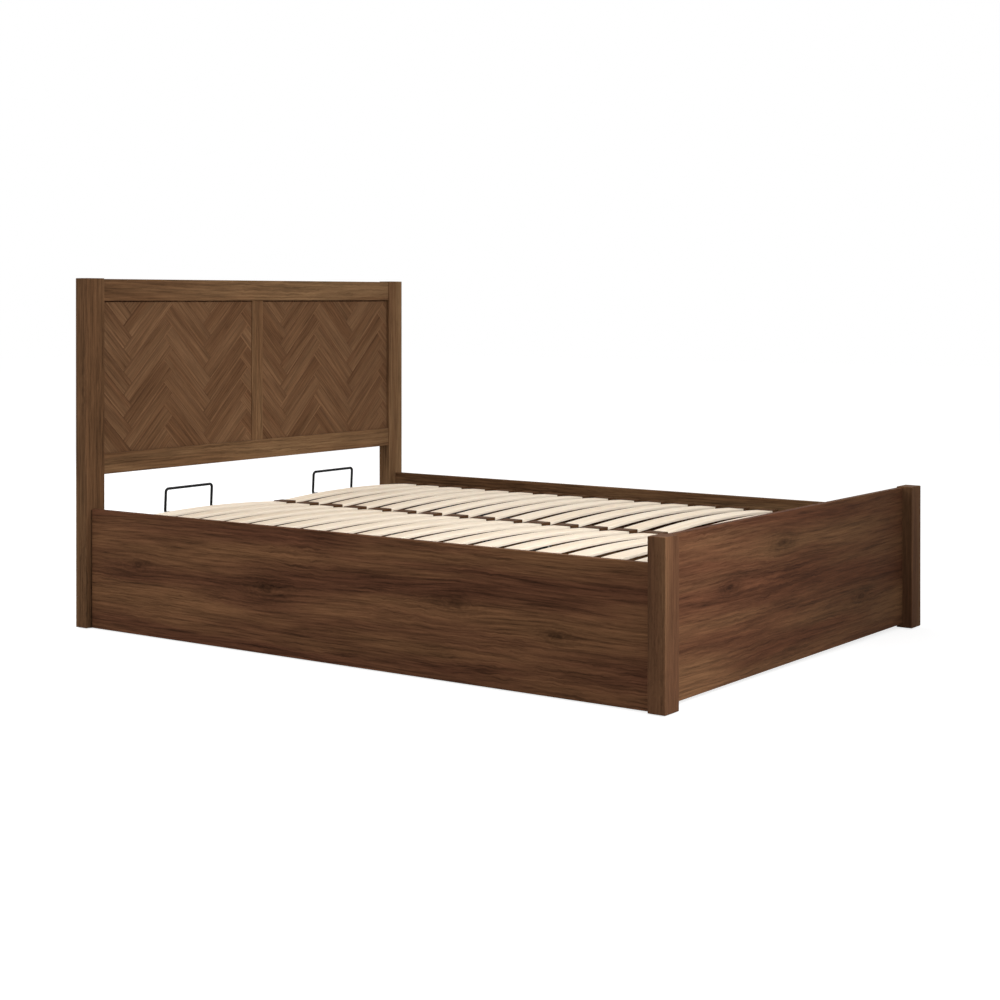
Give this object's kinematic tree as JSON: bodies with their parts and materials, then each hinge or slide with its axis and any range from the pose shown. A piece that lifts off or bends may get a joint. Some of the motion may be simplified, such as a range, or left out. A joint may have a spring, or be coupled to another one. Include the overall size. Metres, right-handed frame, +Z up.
{
  "type": "ottoman bed",
  "caption": "Double ottoman bed in dark walnut finish: a herringbone headboard, a panelled storage box and a sprung slatted platform that lifts on a gas-strut linkage.",
  "frame": {"origin": "on the floor under the middle of the bed", "axes": "+X to the right seen from the foot end, +Y towards the headboard, +Z up"},
  "size_m": [1.44, 1.99, 1.015],
  "materials": {
    "post_walnut": "satin",
    "headboard_walnut": "satin",
    "herringbone_veneer": "satin",
    "panel_backing": "satin",
    "walnut_laminate": "satin",
    "carcass_wood": "sawn",
    "floor_board": "satin",
    "glide_plastic": "matte",
    "buffer_rubber": "matte",
    "zinc_steel": "zinc plated",
    "mechanism_steel": "black powder coat",
    "strut_black": "gloss black",
    "strut_rod_chrome": "polished",
    "frame_steel": "dark powder coat",
    "holder_plastic": "matte",
    "slat_birch": "satin",
    "retainer_wire": "black powder coat"
  },
  "bodies": {
    "bed_frame": {"head_post_left": "post_walnut", "head_post_right": "post_walnut", "foot_post_left": "post_walnut", "foot_post_right": "post_walnut", "headboard_top_rail": "headboard_walnut", "headboard_bottom_rail": "headboard_walnut", "headboard_mullion": "post_walnut", "headboard_panel_left": "panel_backing", "headboard_panel_right": "panel_backing", "herringbone_left": "herringbone_veneer", "herringbone_right": "herringbone_veneer", "side_panel_left": "walnut_laminate", "side_panel_right": "walnut_laminate", "footboard": "walnut_laminate", "head_cross_panel": "walnut_laminate", "side_ledge_left": "carcass_wood", "side_ledge_right": "carcass_wood", "foot_ledge": "carcass_wood", "head_ledge": "carcass_wood", "floor_batten_left": "carcass_wood", "floor_batten_right": "carcass_wood", "centre_floor_batten": "carcass_wood", "centre_feet": "glide_plastic", "post_glides": "glide_plastic", "storage_floor_boards": "floor_board", "platform_buffers": "buffer_rubber", "corner_brackets": "zinc_steel", "bracket_screws": "zinc_steel", "base_plate_screws": "zinc_steel", "base_pivot_pins": "zinc_steel", "follower_pivot_pins": "zinc_steel", "strut_studs": "zinc_steel", "lift_base_plate_left": "mechanism_steel", "lift_base_plate_right": "mechanism_steel"},
    "long_arms": {"long_arm_left": "mechanism_steel", "long_arm_right": "mechanism_steel", "top_pivot_pins": "zinc_steel"},
    "short_arms": {"short_arm_left": "mechanism_steel", "short_arm_right": "mechanism_steel"},
    "strut_cylinders": {"strut_cylinder_left": "strut_black", "strut_cylinder_right": "strut_black"},
    "strut_rods": {"strut_rod_left": "strut_rod_chrome", "strut_rod_right": "strut_rod_chrome"},
    "platform": {"platform_side_rail_left": "frame_steel", "platform_side_rail_right": "frame_steel", "platform_head_rail": "frame_steel", "platform_foot_rail": "frame_steel", "platform_centre_rail": "frame_steel", "lift_top_plate_left": "mechanism_steel", "lift_top_plate_right": "mechanism_steel", "top_plate_bolts": "zinc_steel", "rail_end_plugs": "holder_plastic", "centre_slat_holders": "holder_plastic", "outer_slat_holders": "holder_plastic", "slats_left": "slat_birch", "slats_right": "slat_birch", "mattress_retainer_left": "retainer_wire", "mattress_retainer_right": "retainer_wire", "retainer_clamps": "holder_plastic"}
  },
  "joints": [
    {"name": "lift", "type": "hinge", "parent": "bed_frame", "child": "long_arms", "pos_m": [0, 0.356, 0.15], "axis": [1, 0, 0], "range_deg": [0, 70.4]},
    {"name": "platform_tilt", "type": "hinge", "parent": "long_arms", "child": "platform", "pos_m": [0, 0.735, 0.212], "axis": [-1, 0, 0], "range_deg": [0, 110.7]},
    {"name": "short_arm_swing", "type": "hinge", "parent": "bed_frame", "child": "short_arms", "pos_m": [0, 0.309, 0.1995], "axis": [1, 0, 0], "range_deg": [0, 70.5]},
    {"name": "strut_swing", "type": "hinge", "parent": "bed_frame", "child": "strut_cylinders", "pos_m": [0, 0.4, 0.07], "axis": [1, 0, 0], "range_deg": [0, 61.6]},
    {"name": "strut_slide", "type": "slide", "parent": "strut_cylinders", "child": "strut_rods", "axis": [0, 0.891, 0.454], "range_m": [0, 0.0924]}
  ],
  "couplings": [
    {"joint": "platform_tilt", "follows": "lift", "ratio": 1.572},
    {"joint": "short_arm_swing", "follows": "lift", "ratio": 1.0009},
    {"joint": "strut_swing", "follows": "lift", "ratio": 0.87387},
    {"joint": "strut_slide", "follows": "lift", "m_per_rad": 0.075187}
  ]
}
